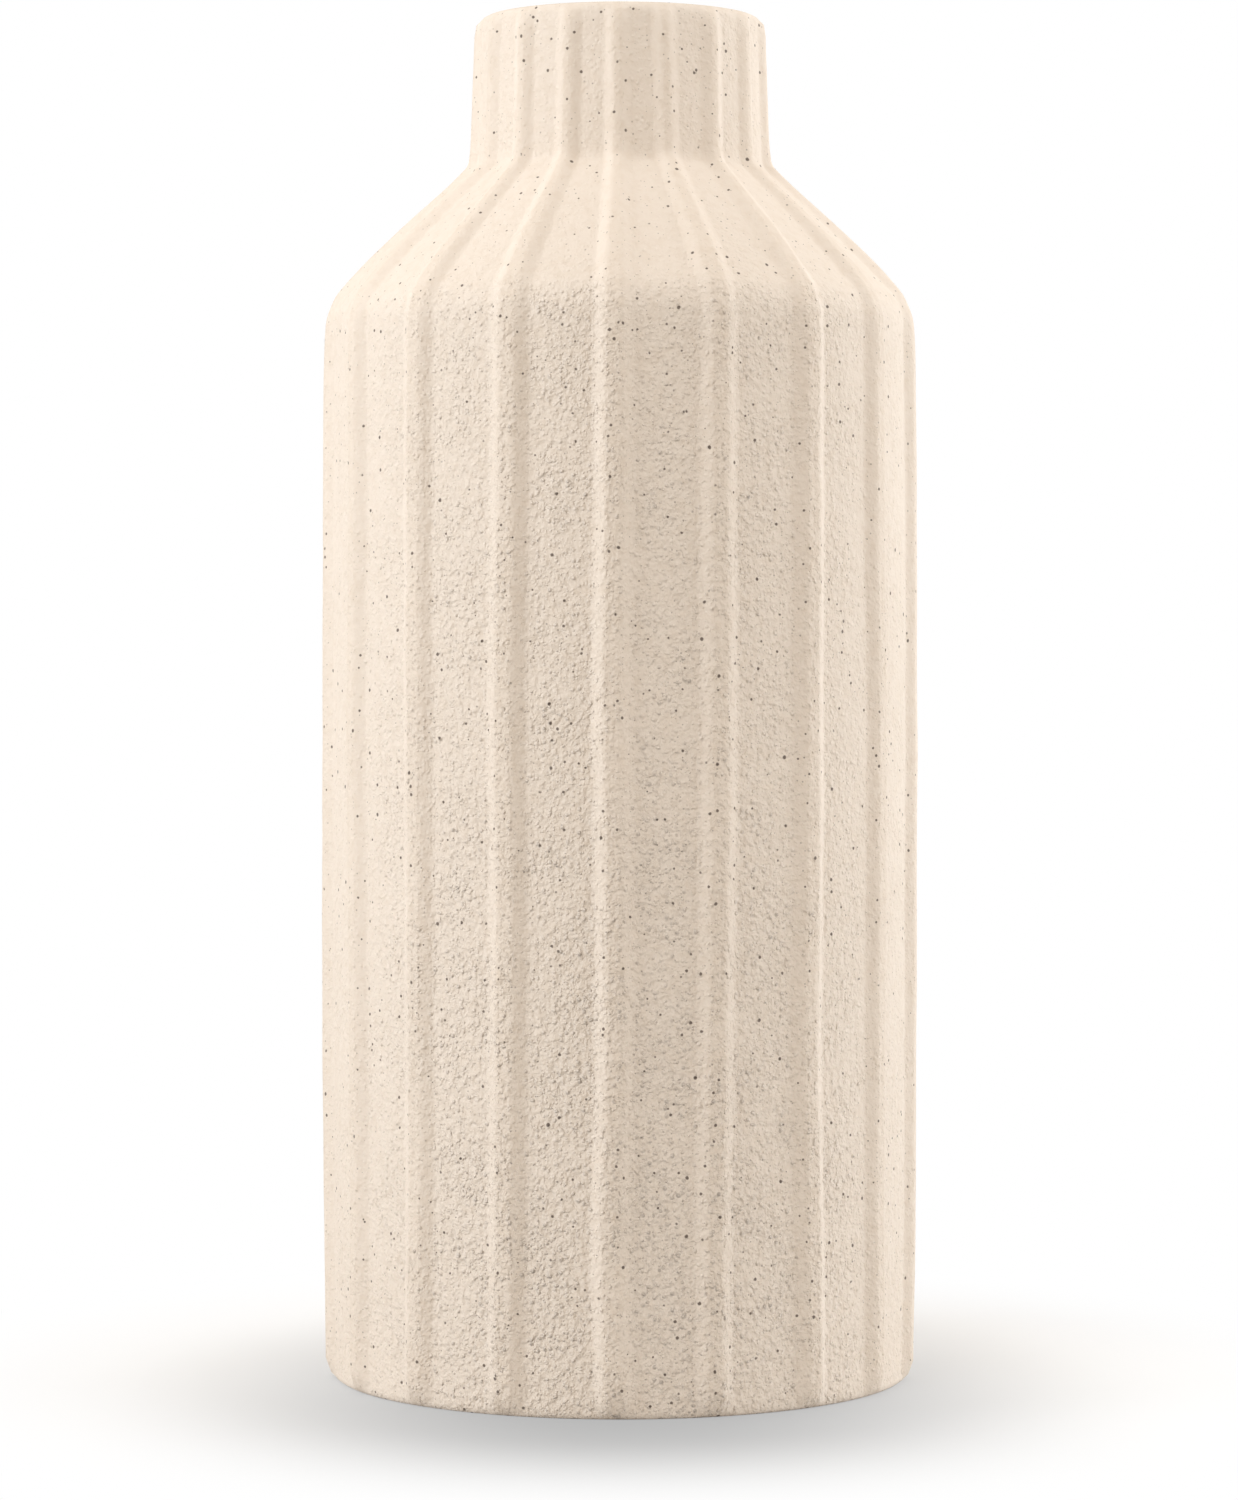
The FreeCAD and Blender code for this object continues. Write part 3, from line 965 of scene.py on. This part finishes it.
def soft_lamp(name, place, size, power):
    """A large lamp that faces the middle of the vase."""
    light = bpy.data.lights.new(name, "AREA")
    light.shape = "RECTANGLE"
    light.size, light.size_y = size
    light.energy = power
    light.color = LAMP_TINT
    lamp = bpy.data.objects.new(name, light)
    lamp.location = place
    towards = Vector((0, 0, VASE_HEIGHT / 2)) - Vector(place)
    lamp.rotation_euler = towards.to_track_quat("-Z", "Y").to_euler()
    bpy.context.scene.collection.objects.link(lamp)


def set_lamps(stage):
    """The lamps beside the vase and above it."""
    for degrees, power in SIDE_LAMPS:
        turn = math.radians(degrees)
        aside = stage.lamp_distance * math.sin(turn)
        along = stage.lamp_distance * -math.cos(turn)
        name = f"side_lamp_{'left' if degrees < 0 else 'right'}_{abs(degrees)}"
        place = (aside, along, SIDE_LAMP_HEIGHT)
        soft_lamp(name, place, SIDE_LAMP_SIZE, power * stage.lamp_power)
    for name, place, size, power in HIGH_LAMPS:
        soft_lamp(name, place, size, power * stage.lamp_power)


def set_air(stage):
    """Even light from all round, seen as white."""
    world = bpy.data.worlds.new("studio_air")
    bpy.context.scene.world = world
    world.use_nodes = True
    tree = world.node_tree
    air = tree.nodes["Background"]
    air.inputs["Color"].default_value = opaque(AIR_TINT)
    air.inputs["Strength"].default_value = stage.air_light
    white = tree.nodes.new("ShaderNodeBackground")
    white.inputs["Color"].default_value = (1, 1, 1, 1)
    surface = mixed_shader(tree, seen_directly(tree), air.outputs[0], white.outputs[0])
    feed(tree, tree.nodes["World Output"].inputs["Surface"], surface)


def set_camera(stage):
    """The camera where the photograph was taken from."""
    eye = bpy.data.cameras.new("studio_camera")
    eye.sensor_width = 36
    eye.lens = stage.lens
    eye.clip_start, eye.clip_end = 0.05, 20
    camera = bpy.data.objects.new("studio_camera", eye)
    camera.location = (stage.eye_offset, -stage.eye_distance, stage.eye_height)
    camera.rotation_euler = (math.pi / 2 - stage.eye_pitch, 0, 0)
    bpy.context.scene.collection.objects.link(camera)
    bpy.context.scene.camera = camera


class VASE_OT_stage(bpy.types.Operator):
    """Set up the pale floor, the soft lamps and the camera"""

    bl_idname = "vase.stage"
    bl_label = "Studio stage"

    def execute(self, context):
        stage = context.scene.vase_stage
        floor_sheet(stage)
        set_lamps(stage)
        set_air(stage)
        set_camera(stage)
        context.scene.view_settings.view_transform = "Standard"
        return {"FINISHED"}


# The sidebar


class VASE_PT_sidebar(bpy.types.Panel):
    """Steps that build the vase, and the sizes and colours they use"""

    bl_idname = "VASE_PT_sidebar"
    bl_label = "Vase"
    bl_space_type = "VIEW_3D"
    bl_region_type = "UI"
    bl_category = "Vase"

    def draw(self, context):
        for step in (VASE_OT_clay, VASE_OT_glaze, VASE_OT_stage):
            self.layout.operator(step.bl_idname)
        for name in SETTINGS:
            box = self.layout.box()
            for field in SETTINGS[name].__annotations__:
                box.prop(getattr(context.scene, name), field)


SETTINGS = {
    "vase_shape": VaseShape,
    "vase_ribs": VaseRibs,
    "vase_finish": VaseFinish,
    "vase_stage": VaseStage,
}
CLASSES = (*SETTINGS.values(), VASE_OT_clay, VASE_OT_glaze, VASE_OT_stage, VASE_PT_sidebar)


def register():
    for made in CLASSES:
        bpy.utils.register_class(made)
    for name, made in SETTINGS.items():
        setattr(bpy.types.Scene, name, PointerProperty(type=made))


def unregister():
    for name in SETTINGS:
        delattr(bpy.types.Scene, name)
    for made in reversed(CLASSES):
        bpy.utils.unregister_class(made)


def main():
    register()
    bpy.ops.vase.clay()
    bpy.ops.vase.glaze()
    bpy.ops.vase.stage()


if __name__ == "__main__":
    main()
